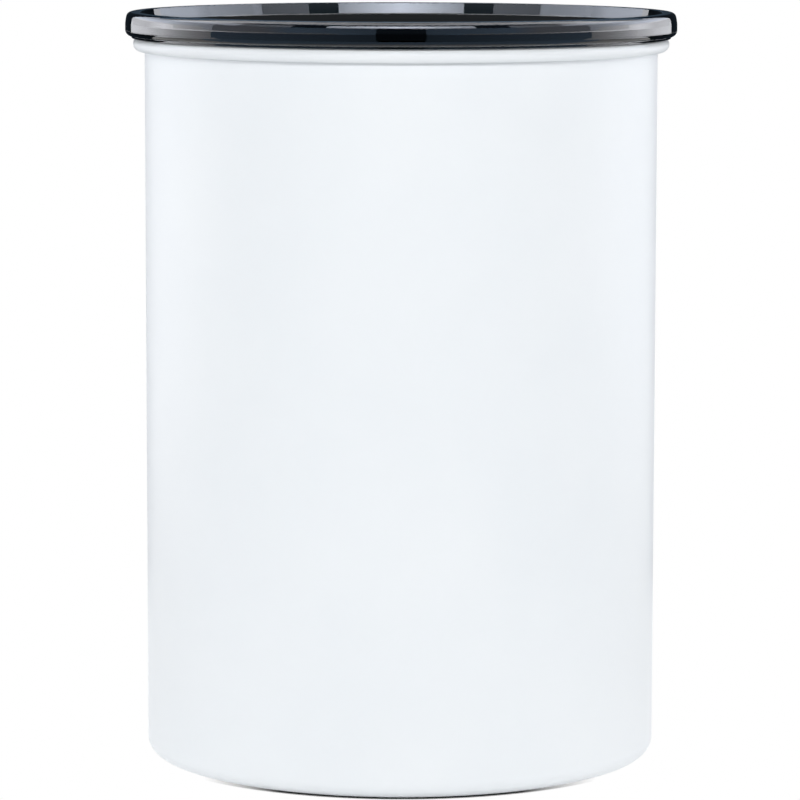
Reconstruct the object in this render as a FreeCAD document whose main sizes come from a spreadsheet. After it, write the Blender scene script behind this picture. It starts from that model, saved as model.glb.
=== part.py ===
# Coffee canister with a plunging inner lid and an air valve: millimetres, +Z up, front -Y, base on z = 0
import FreeCAD
import Part
import Sketcher
import math
import os

# Driving lengths
LENGTHS = {
    # Can
    "body_diameter": "122",
    "body_height": "172.2",
    "wall": "0.8",
    "curl_diameter": "3.55",
    "curl_slit": "0.3",
    "base_corner_radius": "3.5",
    "foot_width": "5",
    "base_rise": "2.5",
    # Outer lid
    "lid_overhang": "1.85",
    "lid_crest_rise": "5.7",
    "lid_recess_depth": "2.9",
    "lid_panel": "2",
    "lid_crest_inset": "2.9",
    "lid_arris_rise": "2.65",
    "lid_edge_radius": "1.6",
    "lid_inner_edge_radius": "0.8",
    "lid_recess_fillet": "0.8",
    "lid_lip_drop": "0.2",
    "lid_neck": "0.35",
    "lid_neck_height": "0.4",
    "lid_lip_chamfer": "0.9",
    "lid_seat_gap": "0.3",
    "plug_depth": "8",
    "plug_wall": "2.2",
    "plug_gap": "1.2",
    "plug_chamfer": "0.6",
    "lid_gasket_height": "3.6",
    "lid_gasket_depth": "1.1",
    "lid_gasket_foot": "1.6",
    # Soft lips of both sliding seals
    "seal_gap": "0.3",
    "lip_root": "1.1",
    "lip_tip": "0.6",
    "lip_lift": "0.6",
    # Inner lid
    "plate_thickness": "2.4",
    "plate_fit": "0.05",
    "plate_chamfer": "0.5",
    "skirt_gap": "1.5",
    "skirt_wall": "2",
    "skirt_rise": "14",
    "skirt_chamfer": "0.6",
    "piston_seal_height": "5",
    "piston_seal_depth": "2",
    "piston_seal_foot": "1.8",
    "piston_seal_land": "1.2",
    "platform_margin": "8",
    "platform_rise": "1.5",
    "platform_chamfer": "1",
    "seat_diameter": "21",
    "seat_width": "2",
    "seat_rise": "2.5",
    "boss_diameter": "7.2",
    "boss_rise": "2",
    "vent_diameter": "3",
    "ear_gap": "0.5",
    "ear_thickness": "4",
    "ear_radius": "5.5",
    "ear_base": "16",
    "rest_diameter": "6",
    "rest_gap": "0.3",
    # Screen below the vents
    "screen_margin": "2.75",
    "screen_thickness": "1.2",
    "screen_wall": "1.3",
    "screen_gap": "0.6",
    "screen_hole": "1.8",
    # Valve
    "valve_travel": "2.5",
    "button_margin": "1.7",
    "button_thickness": "3.2",
    "button_edge": "0.6",
    "valve_gasket_width": "2.6",
    "valve_gasket_thickness": "1.6",
    "valve_gasket_sink": "0.8",
    "stem_diameter": "4",
    "stem_clearance": "0.1",
    "stem_tail": "0.6",
    "stem_chamfer": "0.3",
    "clip_diameter": "7.2",
    "clip_thickness": "0.8",
    "clip_gap": "0.3",
    "clip_groove_depth": "0.5",
    "umbrella_gap": "0.8",
    "umbrella_recess_depth": "1.2",
    "umbrella_diameter": "11.4",
    "umbrella_edge": "0.3",
    "umbrella_dome": "0.8",
    "umbrella_stem": "2",
    "umbrella_length": "3.2",
    "umbrella_fit": "0.05",
    "gas_vent_diameter": "1.4",
    "spring_pocket_depth": "1",
    "spring_wire": "0.7",
    "spring_gap": "0.65",
    "spring_end_gap": "0.1",
    # Handle and its pins
    "handle_end_gap": "6.7",
    "handle_side_gap": "25.7",
    "handle_thickness": "5",
    "handle_fillet": "1.6",
    "handle_headroom": "2.9",
    "grip_depth": "9",
    "grip_corner": "14",
    "grip_inner_corner": "6",
    "arm_width": "6",
    "arm_clearance": "2.5",
    "hub_length": "5",
    "hub_gap": "0.4",
    "cam_radius": "5",
    "cam_gap": "0.3",
    "pin_diameter": "3",
    "pin_clearance": "0.05",
    "pin_head_diameter": "5.2",
    "pin_head": "1.2",
    "pin_end_gap": "0.2",
}

# Angles in degrees, shares of other sizes, and counts
ANGLES = {
    "base_slope": "45",
    "lid_lean": "8",
    "lid_recess_draft": "14",
}
SHARES = {
    "clip_slot_share": "0.8",
    "screen_edge_share": "0.6",
}
COUNTS = {
    "vent_count": "6",
    "gas_vent_count": "4",
    "screen_ring_count": "3",
    "screen_ring_holes": "5",
    "spring_turns": "3",
    "spring_samples": "72",
}

# The order in which the sketcher numbers its axes and the points of a line or arc
AXES = ("origin", "horizontal", "vertical")
PLACES = ("edge", "start", "end", "centre")
H_AXIS = -AXES.index("horizontal")
V_AXIS = -AXES.index("vertical")
START = PLACES.index("start")
END = PLACES.index("end")
CENTRE = PLACES.index("centre")

doc = FreeCAD.newDocument("Canister")
sheet = doc.addObject("Spreadsheet::Sheet", "Sizes")
for row, (name, value) in enumerate({**LENGTHS, **ANGLES, **SHARES, **COUNTS}.items(), start=1):
    sheet.set(f"A{row}", name)
    sheet.set(f"B{row}", value)
    sheet.setAlias(f"B{row}", name)
doc.recompute()


def size(expression):
    """The present value of an expression over the sheet."""
    return float(sheet.evalExpression(expression))


def new_body(label, lift="0"):
    """A body whose own z = 0 stands at a height given by an expression."""
    body = doc.addObject("PartDesign::Body", label)
    body.Label = label
    body.AllowCompound = True
    body.setExpression("Placement.Base.z", lift)
    return body


def datum(body, role):
    """One of the body's own planes or axes."""
    return next(feature for feature in body.Origin.OriginFeatures if feature.Role == role)


def new_sketch(body, name, plane, offset="0"):
    """A sketch on one of the body's own planes, moved along its normal by an expression."""
    sketch = body.newObject("Sketcher::SketchObject", name)
    sketch.AttachmentSupport = [(datum(body, plane), "")]
    sketch.MapMode = "FlatFace"
    sketch.setExpression("AttachmentOffset.Base.z", offset)
    return sketch


def hold(sketch, kind, geometry, place, expression):
    """Keeps one coordinate of a sketch point at an expression."""
    if expression == "0":
        axis = V_AXIS if kind == "DistanceX" else H_AXIS
        sketch.addConstraint(Sketcher.Constraint("PointOnObject", geometry, place, axis))
        return
    rule = Sketcher.Constraint(kind, H_AXIS, START, geometry, place, size(expression))
    index = sketch.addConstraint(rule)
    sketch.setExpression(f"Constraints[{index}]", expression)


def hold_point(sketch, geometry, place, x, y):
    """Keeps a sketch point at two expressions."""
    hold(sketch, "DistanceX", geometry, place, x)
    hold(sketch, "DistanceY", geometry, place, y)


def to(x, y):
    """A straight step of an outline."""
    return {"x": x, "y": y, "centre": None, "left": False}


def left(x, y, centre):
    """A step round a centre, anticlockwise."""
    return {"x": x, "y": y, "centre": centre, "left": True}


def right(x, y, centre):
    """A step round a centre, clockwise."""
    return {"x": x, "y": y, "centre": centre, "left": False}


def direction(point, centre):
    """The angle of a point seen from a centre."""
    return math.atan2(point.y - centre.y, point.x - centre.x)


def arc(first, last, centre):
    """An arc that goes anticlockwise from first to last."""
    begin = direction(first, centre)
    finish = direction(last, centre)
    if finish <= begin:
        finish += math.tau
    circle = Part.Circle(centre, FreeCAD.Vector(0, 0, 1), first.distanceToPoint(centre))
    return Part.ArcOfCircle(circle, begin, finish)


def outline(sketch, steps):
    """A closed loop of straight and round steps; the first step is straight and closes the loop."""
    points = [FreeCAD.Vector(size(step["x"]), size(step["y"])) for step in steps]
    rows = []
    for index, point in enumerate(points):
        following = (index + 1) % len(steps)
        step = steps[following]
        ends = (START, END)
        if step["centre"] is None:
            geometry = Part.LineSegment(point, points[following])
        else:
            centre = FreeCAD.Vector(size(step["centre"][0]), size(step["centre"][1]))
            if step["left"]:
                geometry = arc(point, points[following], centre)
            else:
                geometry = arc(points[following], point, centre)
                ends = (END, START)
        rows.append((sketch.addGeometry(geometry), ends))
    for index, (row, ends) in enumerate(rows):
        step = steps[index]
        last_row, last_ends = rows[index - 1]
        sketch.addConstraint(Sketcher.Constraint("Coincident", last_row, last_ends[1], row, ends[0]))
        if step["centre"] is None:
            hold_point(sketch, row, ends[0], step["x"], step["y"])
            continue
        hold_point(sketch, last_row, CENTRE, *step["centre"])
        centre = FreeCAD.Vector(size(step["centre"][0]), size(step["centre"][1]))
        angle = direction(points[index], centre)
        if abs(math.sin(angle)) > abs(math.cos(angle)):
            hold(sketch, "DistanceX", row, ends[0], step["x"])
        else:
            hold(sketch, "DistanceY", row, ends[0], step["y"])


def circle(sketch, x, y, diameter):
    """A circle held by its centre and diameter."""
    centre = FreeCAD.Vector(size(x), size(y))
    row = sketch.addGeometry(Part.Circle(centre, FreeCAD.Vector(0, 0, 1), size(diameter) / 2))
    if x == "0" and y == "0":
        sketch.addConstraint(Sketcher.Constraint("Coincident", row, CENTRE, H_AXIS, START))
    else:
        hold_point(sketch, row, CENTRE, x, y)
    index = sketch.addConstraint(Sketcher.Constraint("Diameter", row, size(diameter)))
    sketch.setExpression(f"Constraints[{index}]", diameter)


def revolve(body, name, sketch, axis="V_Axis"):
    """A full turn of a sketch about one of its axes."""
    feature = body.newObject("PartDesign::Revolution", name)
    feature.Profile = sketch
    feature.ReferenceAxis = (sketch, [axis])
    feature.Angle = 360
    return feature


def pad(body, name, sketch, length):
    """A sketch raised along its normal."""
    feature = body.newObject("PartDesign::Pad", name)
    feature.Profile = sketch
    feature.setExpression("Length", length)
    return feature


def cut(body, name, sketch):
    """A sketch cut right through, against its normal."""
    feature = body.newObject("PartDesign::Pocket", name)
    feature.Profile = sketch
    feature.Type = "ThroughAll"
    return feature


def cross_bore(body, name, reach):
    """A bore for the pivot pins along X, as far as reach on both sides."""
    sketch = new_sketch(body, f"{name}_outline", "YZ_Plane")
    circle(sketch, "0", pivot_z, "(Sizes.pin_diameter + 2 * Sizes.pin_clearance)")
    feature = body.newObject("PartDesign::Pocket", name)
    feature.Profile = sketch
    feature.SideType = "Symmetric"
    feature.setExpression("Length", f"(2 * {reach})")
    return feature


def ring_of(body, name, feature, count):
    """Copies of a feature round the Z axis."""
    pattern = body.newObject("PartDesign::PolarPattern", name)
    pattern.Originals = [feature]
    pattern.Axis = (datum(body, "Z_Axis"), [""])
    pattern.Angle = 360
    pattern.setExpression("Occurrences", count)
    body.Tip = pattern
    return pattern


def mirror(body, name, features, plane):
    """Features and their mirror images in one of the body's own planes."""
    mirrored = body.newObject("PartDesign::Mirrored", name)
    mirrored.Originals = features
    mirrored.MirrorPlane = (datum(body, plane), [""])
    body.Tip = mirrored
    return mirrored


def soft_lip(root_x, tip_x, foot):
    """Steps of one tapered lip of a seal, from its root to its tip and back."""
    return [
        to(root_x, foot),
        to(tip_x, f"({foot} + Sizes.lip_lift)"),
        to(tip_x, f"({foot} + Sizes.lip_lift + Sizes.lip_tip)"),
        to(root_x, f"({foot} + Sizes.lip_root)"),
    ]


# Can radii and the rolled rim
body_r = "(Sizes.body_diameter / 2)"
bore_r = f"({body_r} - Sizes.wall)"
curl_r = "(Sizes.curl_diameter / 2)"
curl_x = f"({bore_r} + {curl_r})"
curl_z = f"(Sizes.body_height - {curl_r})"
curl_inner_r = f"({curl_r} - Sizes.wall)"
curl_end_x = f"({body_r} + Sizes.curl_slit)"
curl_end_drop = f"sqrt({curl_r} ^ 2 - ({curl_x} - {curl_end_x}) ^ 2)"
curl_inner_share = f"({curl_inner_r} / {curl_r})"
bead_r = f"({curl_x} + {curl_r})"
corner_x = f"({body_r} - Sizes.base_corner_radius)"
foot_x = f"({corner_x} - Sizes.foot_width)"
panel_x = f"({foot_x} - Sizes.base_rise / tan(Sizes.base_slope))"
bend_shift = "(Sizes.wall * tan(Sizes.base_slope / 2))"

canister_shell = new_body("canister_shell")
shell_sketch = new_sketch(canister_shell, "shell_outline", "XZ_Plane")
curl_centre = (curl_x, curl_z)
corner_centre = (corner_x, "Sizes.base_corner_radius")
outline(shell_sketch, [
    to("0", "Sizes.base_rise"),
    to(panel_x, "Sizes.base_rise"),
    to(foot_x, "0"),
    to(corner_x, "0"),
    left(body_r, "Sizes.base_corner_radius", corner_centre),
    to(body_r, curl_z),
    right(
        f"({curl_x} - ({curl_x} - {curl_end_x}) * {curl_inner_share})",
        f"({curl_z} - {curl_end_drop} * {curl_inner_share})",
        curl_centre,
    ),
    to(curl_end_x, f"({curl_z} - {curl_end_drop})"),
    left(bore_r, curl_z, curl_centre),
    to(bore_r, "Sizes.base_corner_radius"),
    right(corner_x, "Sizes.wall", corner_centre),
    to(f"({foot_x} + {bend_shift})", "Sizes.wall"),
    to(f"({panel_x} + {bend_shift})", "(Sizes.base_rise + Sizes.wall)"),
    to("0", "(Sizes.base_rise + Sizes.wall)"),
])
revolve(canister_shell, "shell_turn", shell_sketch)

# Outer lid, with heights from the rim of the can
lid_r = f"({bead_r} + Sizes.lid_overhang)"
panel_top = "(Sizes.lid_crest_rise - Sizes.lid_recess_depth)"
panel_under = f"({panel_top} - Sizes.lid_panel)"
lip_z = "(-Sizes.lid_lip_drop)"
plug_r = f"({bore_r} - Sizes.plug_gap)"
plug_inner_r = f"({plug_r} - Sizes.plug_wall)"
lid_gasket_r = f"({plug_r} - Sizes.lid_gasket_depth)"
lid_gasket_low = "(Sizes.lid_gasket_foot - Sizes.plug_depth)"
lid_gasket_high = f"({lid_gasket_low} + Sizes.lid_gasket_height)"
lip_tip_r = f"({bore_r} - Sizes.seal_gap)"
crest_z = "Sizes.lid_crest_rise"
crest_out_z = f"({crest_z} - Sizes.lid_edge_radius)"
lean_z = f"({crest_out_z} + Sizes.lid_edge_radius * sin(Sizes.lid_lean))"
lean_x = f"({lid_r} - ({lean_z} - Sizes.lid_arris_rise) * tan(Sizes.lid_lean))"
crest_out_x = f"({lean_x} - Sizes.lid_edge_radius * cos(Sizes.lid_lean))"
crest_in_x = f"({lid_r} - Sizes.lid_crest_inset)"
crest_in_z = f"({crest_z} - Sizes.lid_inner_edge_radius)"
mouth_x = f"({crest_in_x} - Sizes.lid_inner_edge_radius * cos(Sizes.lid_recess_draft))"
mouth_z = f"({crest_in_z} + Sizes.lid_inner_edge_radius * sin(Sizes.lid_recess_draft))"
fillet_z = f"({panel_top} + Sizes.lid_recess_fillet)"
wall_foot_z = f"({fillet_z} - Sizes.lid_recess_fillet * sin(Sizes.lid_recess_draft))"
wall_foot_x = f"({mouth_x} - ({mouth_z} - {wall_foot_z}) * tan(Sizes.lid_recess_draft))"
fillet_x = f"({wall_foot_x} - Sizes.lid_recess_fillet * cos(Sizes.lid_recess_draft))"
neck_x = f"({bead_r} + Sizes.lid_neck)"
neck_z = f"({lip_z} + Sizes.lid_neck_height)"
flare_z = f"({neck_z} + Sizes.lid_overhang - Sizes.lid_neck)"

outer_lid = new_body("outer_lid", "Sizes.body_height")
lid_sketch = new_sketch(outer_lid, "lid_outline", "XZ_Plane")
outline(lid_sketch, [
    to("0", panel_top),
    to(fillet_x, panel_top),
    left(wall_foot_x, wall_foot_z, (fillet_x, fillet_z)),
    to(mouth_x, mouth_z),
    right(crest_in_x, crest_z, (crest_in_x, crest_in_z)),
    to(crest_out_x, crest_z),
    right(lean_x, lean_z, (crest_out_x, crest_out_z)),
    to(lid_r, "Sizes.lid_arris_rise"),
    to(lid_r, flare_z),
    right(neck_x, neck_z, (neck_x, flare_z)),
    to(neck_x, lip_z),
    to(f"({bead_r} - Sizes.lid_lip_chamfer)", "Sizes.lid_seat_gap"),
    to(plug_r, "Sizes.lid_seat_gap"),
    to(plug_r, lid_gasket_high),
    to(lid_gasket_r, lid_gasket_high),
    to(lid_gasket_r, lid_gasket_low),
    to(plug_r, lid_gasket_low),
    to(plug_r, "(Sizes.plug_chamfer - Sizes.plug_depth)"),
    to(f"({plug_r} - Sizes.plug_chamfer)", "(-Sizes.plug_depth)"),
    to(plug_inner_r, "(-Sizes.plug_depth)"),
    to(plug_inner_r, panel_under),
    to("0", panel_under),
])
revolve(outer_lid, "lid_turn", lid_sketch)

outer_lid_gasket = new_body("outer_lid_gasket", "Sizes.body_height")
lid_gasket_sketch = new_sketch(outer_lid_gasket, "lid_gasket_outline", "XZ_Plane")
lid_gasket_mid = f"(({lid_gasket_low} + {lid_gasket_high}) / 2)"
outline(lid_gasket_sketch, [
    to(lid_gasket_r, lid_gasket_low),
    *soft_lip(plug_r, lip_tip_r, lid_gasket_low),
    *soft_lip(plug_r, lip_tip_r, lid_gasket_mid),
    to(plug_r, lid_gasket_high),
    to(lid_gasket_r, lid_gasket_high),
])
revolve(outer_lid_gasket, "lid_gasket_turn", lid_gasket_sketch)

# Valve stack, with heights from the floor of the inner lid
button_under = "(Sizes.seat_rise + Sizes.valve_gasket_thickness - Sizes.valve_gasket_sink)"
button_top = f"({button_under} + Sizes.button_thickness)"
gasket_in = "((Sizes.seat_diameter - Sizes.valve_gasket_width) / 2)"
gasket_out = "((Sizes.seat_diameter + Sizes.valve_gasket_width) / 2)"
button_r = f"({gasket_out} + Sizes.button_margin)"
half_travel = "(Sizes.valve_travel / 2)"
pivot_z = f"({button_top} + Sizes.cam_gap + Sizes.cam_radius + {half_travel})"
plate_under = "(-Sizes.plate_thickness)"
clip_top = f"({plate_under} - Sizes.valve_travel - Sizes.clip_gap)"
clip_under = f"({clip_top} - Sizes.clip_thickness)"
stem_end = f"({clip_under} - Sizes.stem_tail)"
stem_r = "(Sizes.stem_diameter / 2)"
screen_top = f"({stem_end} - Sizes.screen_gap)"
screen_under = f"({screen_top} - Sizes.screen_thickness)"
seat_in = "((Sizes.seat_diameter - Sizes.seat_width) / 2)"
seat_out = "((Sizes.seat_diameter + Sizes.seat_width) / 2)"
screen_r = f"({seat_out} + Sizes.screen_margin)"
boss_r = "(Sizes.boss_diameter / 2)"
coil_r = f"({boss_r} + Sizes.spring_gap + Sizes.spring_wire / 2)"
coil_out = f"({coil_r} + Sizes.spring_wire / 2)"
pocket_r = f"({coil_out} + Sizes.spring_gap)"

# Inner lid, a skirt ring with a plate on its ledge, low enough for the handle to stand up below the outer lid
skirt_r = f"({bore_r} - Sizes.skirt_gap)"
skirt_in = f"({skirt_r} - Sizes.skirt_wall)"
handle_reach = f"({skirt_in} - Sizes.handle_end_gap)"
handle_x = f"({skirt_in} - Sizes.handle_side_gap)"
floor_z = f"(Sizes.body_height + {panel_under} - Sizes.handle_headroom - {handle_reach} - {pivot_z})"
piston_seal_r = f"({skirt_r} - Sizes.piston_seal_depth)"
skirt_low_in = f"({piston_seal_r} - Sizes.skirt_wall)"
seal_high = f"({plate_under} - Sizes.piston_seal_land)"
seal_low = f"({seal_high} - Sizes.piston_seal_height)"
skirt_under = f"({seal_low} - Sizes.piston_seal_foot)"
skirt_round_x = f"({skirt_r} - Sizes.skirt_wall / 2)"
skirt_round_z = "(Sizes.skirt_rise - Sizes.skirt_wall / 2)"
plate_r = f"({skirt_in} - Sizes.plate_fit)"
stem_bore_r = f"({stem_r} + Sizes.stem_clearance)"
ear_in = f"({button_r} + Sizes.ear_gap)"
ear_out = f"({ear_in} + Sizes.ear_thickness)"
ear_foot = "(Sizes.ear_base / 2)"
platform_r = f"({ear_out} + Sizes.platform_margin)"
vent_r = f"(({seat_in} + {coil_out}) / 2)"
handle_half = "(Sizes.handle_thickness / 2)"
grip_corner_x = f"({handle_x} - Sizes.grip_corner)"
rest_y = f"({handle_reach} - Sizes.grip_depth / 2)"

inner_lid_skirt = new_body("inner_lid_skirt", floor_z)
skirt_sketch = new_sketch(inner_lid_skirt, "skirt_outline", "XZ_Plane")
outline(skirt_sketch, [
    to(skirt_low_in, plate_under),
    to(skirt_low_in, skirt_under),
    to(f"({skirt_r} - Sizes.skirt_chamfer)", skirt_under),
    to(skirt_r, f"({skirt_under} + Sizes.skirt_chamfer)"),
    to(skirt_r, seal_low),
    to(piston_seal_r, seal_low),
    to(piston_seal_r, seal_high),
    to(skirt_r, seal_high),
    to(skirt_r, skirt_round_z),
    left(skirt_in, skirt_round_z, (skirt_round_x, skirt_round_z)),
    to(skirt_in, plate_under),
])
revolve(inner_lid_skirt, "skirt_turn", skirt_sketch)

inner_lid_plate = new_body("inner_lid_plate", floor_z)
plate_sketch = new_sketch(inner_lid_plate, "plate_outline", "XZ_Plane")
outline(plate_sketch, [
    to(stem_bore_r, plate_under),
    to(plate_r, plate_under),
    to(plate_r, "(-Sizes.plate_chamfer)"),
    to(f"({plate_r} - Sizes.plate_chamfer)", "0"),
    to(platform_r, "0"),
    to(f"({platform_r} - Sizes.platform_chamfer)", "Sizes.platform_rise"),
    to(seat_out, "Sizes.platform_rise"),
    to(seat_out, "Sizes.seat_rise"),
    to(seat_in, "Sizes.seat_rise"),
    to(seat_in, "0"),
    to(boss_r, "0"),
    to(boss_r, "Sizes.boss_rise"),
    to(stem_bore_r, "Sizes.boss_rise"),
])
revolve(inner_lid_plate, "plate_turn", plate_sketch)
rest_sketch = new_sketch(inner_lid_plate, "rest_outline", "XY_Plane")
circle(rest_sketch, grip_corner_x, rest_y, "Sizes.rest_diameter")
rest = pad(inner_lid_plate, "rest_post", rest_sketch, f"({pivot_z} - {handle_half} - Sizes.rest_gap)")
ear_sketch = new_sketch(inner_lid_plate, "ear_outline", "YZ_Plane", ear_in)
outline(ear_sketch, [
    to(f"(-{ear_foot})", "0"),
    to(ear_foot, "0"),
    to("Sizes.ear_radius", pivot_z),
    left("(-Sizes.ear_radius)", pivot_z, ("0", pivot_z)),
])
ear = pad(inner_lid_plate, "ear", ear_sketch, "Sizes.ear_thickness")
mirror(inner_lid_plate, "posts_and_ears", [rest, ear], "YZ_Plane")
cross_bore(inner_lid_plate, "ear_holes", ear_out)
vent_sketch = new_sketch(inner_lid_plate, "vent_outline", "XY_Plane", "Sizes.seat_rise")
circle(vent_sketch, vent_r, "0", "Sizes.vent_diameter")
vent = cut(inner_lid_plate, "vent", vent_sketch)
ring_of(inner_lid_plate, "vents", vent, "Sizes.vent_count")

piston_seal = new_body("piston_seal", floor_z)
seal_sketch = new_sketch(piston_seal, "seal_outline", "XZ_Plane")
seal_mid = f"(({seal_low} + {seal_high}) / 2)"
outline(seal_sketch, [
    to(piston_seal_r, seal_low),
    *soft_lip(skirt_r, lip_tip_r, seal_low),
    *soft_lip(skirt_r, lip_tip_r, seal_mid),
    to(skirt_r, seal_high),
    to(piston_seal_r, seal_high),
])
revolve(piston_seal, "seal_turn", seal_sketch)

valve_screen = new_body("valve_screen", floor_z)
screen_sketch = new_sketch(valve_screen, "screen_outline", "XZ_Plane")
screen_in = f"({screen_r} - Sizes.screen_wall)"
outline(screen_sketch, [
    to("0", screen_under),
    to(screen_r, screen_under),
    to(screen_r, plate_under),
    to(screen_in, plate_under),
    to(screen_in, screen_top),
    to("0", screen_top),
])
revolve(valve_screen, "screen_turn", screen_sketch)
ring_step = f"({screen_in} / (Sizes.screen_ring_count + Sizes.screen_edge_share))"
for ring in range(1, 1 + int(size("Sizes.screen_ring_count"))):
    hole_sketch = new_sketch(valve_screen, f"screen_hole_outline_{ring}", "XY_Plane", screen_top)
    circle(hole_sketch, f"({ring} * {ring_step})", "0", "Sizes.screen_hole")
    hole = cut(valve_screen, f"screen_hole_{ring}", hole_sketch)
    ring_of(valve_screen, f"screen_holes_{ring}", hole, f"({ring} * Sizes.screen_ring_holes)")

pivot_pins = new_body("pivot_pins", floor_z)
pin_sketch = new_sketch(pivot_pins, "pin_outline", "XY_Plane", pivot_z)
pin_r = "(Sizes.pin_diameter / 2)"
hub_out = f"({ear_in} - Sizes.hub_gap)"
hub_in = f"({hub_out} - Sizes.hub_length)"
pin_end = f"({hub_in} + Sizes.pin_end_gap)"
outline(pin_sketch, [
    to(pin_end, "0"),
    to(f"({ear_out} + Sizes.pin_head)", "0"),
    to(f"({ear_out} + Sizes.pin_head)", "(Sizes.pin_head_diameter / 2)"),
    to(ear_out, "(Sizes.pin_head_diameter / 2)"),
    to(ear_out, pin_r),
    to(pin_end, pin_r),
])
pin = revolve(pivot_pins, "pin_turn", pin_sketch, "H_Axis")
mirror(pivot_pins, "pin_pair", [pin], "YZ_Plane")

# Handle, folded back: cam hubs off the pivot by half the valve's travel each way
handle = new_body("handle", floor_z)
handle_in_x = f"({handle_x} - Sizes.arm_width)"
flare_y = "(Sizes.ear_radius + Sizes.arm_clearance)"
outer_bend = f"(({handle_x} - {hub_out}) / 2)"
inner_bend = f"(({handle_in_x} - {hub_in}) / 2)"
outer_mid_x = f"({hub_out} + {outer_bend})"
inner_mid_x = f"({hub_in} + {inner_bend})"
outer_mid_y = f"({flare_y} + {outer_bend})"
inner_mid_y = f"({outer_mid_y} + Sizes.arm_width)"
outer_end_y = f"({outer_mid_y} + {outer_bend})"
inner_end_y = f"({inner_mid_y} + {inner_bend})"
inner_start_y = f"({inner_mid_y} - {inner_bend})"
grip_corner_y = f"({handle_reach} - Sizes.grip_corner)"
grip_in_y = f"({handle_reach} - Sizes.grip_depth)"
inner_corner_x = f"({handle_in_x} - Sizes.grip_inner_corner)"
inner_corner_y = f"({grip_in_y} - Sizes.grip_inner_corner)"
bail_sketch = new_sketch(handle, "bail_outline", "XY_Plane", f"({pivot_z} - {handle_half})")
outline(bail_sketch, [
    to(hub_in, "0"),
    to(hub_out, "0"),
    to(hub_out, flare_y),
    right(outer_mid_x, outer_mid_y, (outer_mid_x, flare_y)),
    left(handle_x, outer_end_y, (outer_mid_x, outer_end_y)),
    to(handle_x, grip_corner_y),
    left(grip_corner_x, handle_reach, (grip_corner_x, grip_corner_y)),
    to("0", handle_reach),
    to("0", grip_in_y),
    to(inner_corner_x, grip_in_y),
    right(handle_in_x, inner_corner_y, (inner_corner_x, inner_corner_y)),
    to(handle_in_x, inner_end_y),
    right(inner_mid_x, inner_mid_y, (inner_mid_x, inner_end_y)),
    left(hub_in, inner_start_y, (inner_mid_x, inner_start_y)),
])
bail_half = pad(handle, "bail_half", bail_sketch, "Sizes.handle_thickness")
bail = mirror(handle, "bail", [bail_half], "YZ_Plane")
doc.recompute()
bail_edges = []
for index, edge in enumerate(bail.Shape.Edges, start=1):
    if math.isclose(edge.firstVertex().Z, edge.lastVertex().Z):
        bail_edges.append(f"Edge{index}")
rounding = handle.newObject("PartDesign::Fillet", "bail_rounding")
rounding.Base = (bail, bail_edges)
rounding.setExpression("Radius", "Sizes.handle_fillet")
hub_sketch = new_sketch(handle, "hub_outline", "YZ_Plane", hub_in)
circle(hub_sketch, half_travel, f"({pivot_z} - {half_travel})", "(2 * Sizes.cam_radius)")
hub = pad(handle, "hub", hub_sketch, "Sizes.hub_length")
mirror(handle, "hubs", [hub], "YZ_Plane")
cross_bore(handle, "hub_bores", hub_out)

# Valve disc with its stem, gasket, gas valve and clip
valve_button = new_body("valve_button", floor_z)
gasket_roof = f"({button_under} + Sizes.valve_gasket_sink)"
pocket_roof = f"({button_under} + Sizes.spring_pocket_depth)"
umbrella_floor = f"({button_top} - Sizes.umbrella_recess_depth)"
umbrella_end = f"({umbrella_floor} - Sizes.umbrella_length)"
umbrella_hole_r = "(Sizes.umbrella_stem / 2 + Sizes.umbrella_fit)"
umbrella_hole_end = f"({umbrella_end} - Sizes.umbrella_fit)"
umbrella_r = "(Sizes.umbrella_diameter / 2)"
umbrella_recess_r = f"({umbrella_r} + Sizes.umbrella_gap)"
gas_vent_r = f"(({umbrella_hole_r} + {umbrella_r}) / 2)"
button_round_x = f"({button_r} - Sizes.button_edge)"
button_round_z = f"({button_top} - Sizes.button_edge)"
clip_groove_r = f"({stem_r} - Sizes.clip_groove_depth)"
button_sketch = new_sketch(valve_button, "button_outline", "XZ_Plane")
outline(button_sketch, [
    to("0", umbrella_hole_end),
    to("0", stem_end),
    to(f"({stem_r} - Sizes.stem_chamfer)", stem_end),
    to(stem_r, f"({stem_end} + Sizes.stem_chamfer)"),
    to(stem_r, clip_under),
    to(clip_groove_r, clip_under),
    to(clip_groove_r, clip_top),
    to(stem_r, clip_top),
    to(stem_r, pocket_roof),
    to(pocket_r, pocket_roof),
    to(pocket_r, button_under),
    to(gasket_in, button_under),
    to(gasket_in, gasket_roof),
    to(gasket_out, gasket_roof),
    to(gasket_out, button_under),
    to(button_round_x, button_under),
    to(button_r, f"({button_under} + Sizes.button_edge)"),
    to(button_r, button_round_z),
    left(button_round_x, button_top, (button_round_x, button_round_z)),
    to(umbrella_recess_r, button_top),
    to(umbrella_recess_r, umbrella_floor),
    to(umbrella_hole_r, umbrella_floor),
    to(umbrella_hole_r, umbrella_hole_end),
])
revolve(valve_button, "button_turn", button_sketch)
gas_vent_sketch = new_sketch(valve_button, "gas_vent_outline", "XY_Plane", button_top)
circle(gas_vent_sketch, gas_vent_r, "0", "Sizes.gas_vent_diameter")
gas_vent = cut(valve_button, "gas_vent", gas_vent_sketch)
ring_of(valve_button, "gas_vents", gas_vent, "Sizes.gas_vent_count")

valve_gasket = new_body("valve_gasket", floor_z)
valve_gasket_sketch = new_sketch(valve_gasket, "valve_gasket_outline", "XZ_Plane")
outline(valve_gasket_sketch, [
    to(gasket_in, "Sizes.seat_rise"),
    to(gasket_out, "Sizes.seat_rise"),
    to(gasket_out, gasket_roof),
    to(gasket_in, gasket_roof),
])
revolve(valve_gasket, "valve_gasket_turn", valve_gasket_sketch)

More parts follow.
